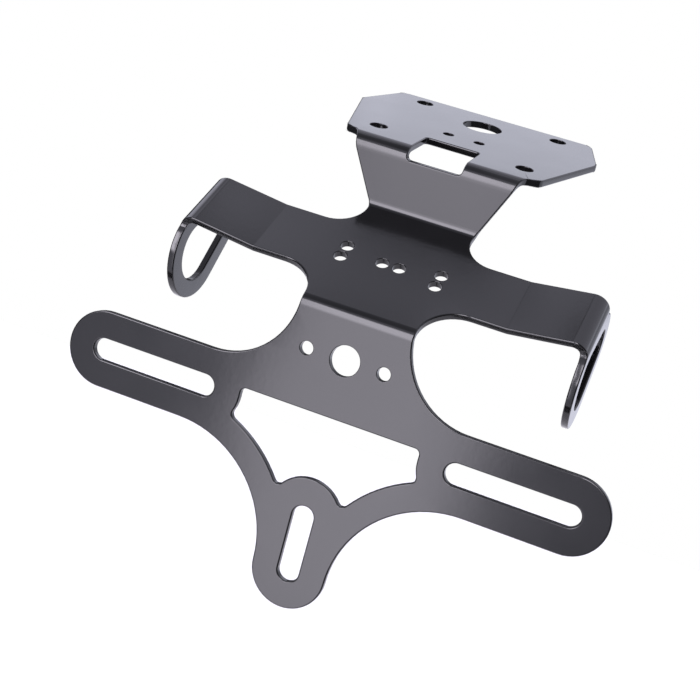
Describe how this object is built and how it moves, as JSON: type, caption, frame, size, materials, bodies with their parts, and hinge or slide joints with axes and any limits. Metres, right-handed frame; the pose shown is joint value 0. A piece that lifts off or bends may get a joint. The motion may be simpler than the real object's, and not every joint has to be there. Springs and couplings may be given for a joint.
{
  "type": "tail tidy",
  "caption": "Folded sheet bracket that bolts under a motorbike's tail: a slotted cross plate holds the number plate and a ring on each side arm holds an indicator.",
  "frame": {"origin": "centre of the four tail bolt holes, on the top face of the top panel", "axes": "+Z out of the top face towards the motorbike's tail, +Y towards the front of the motorbike, +X across it; the neck and the plate panel go towards -Y and -Z"},
  "size_m": [0.2714, 0.213, 0.2],
  "materials": {
    "black_coat": "satin black powder coat"
  },
  "bodies": {
    "root": {"tail_tidy_bracket": "black_coat"}
  },
  "joints": []
}
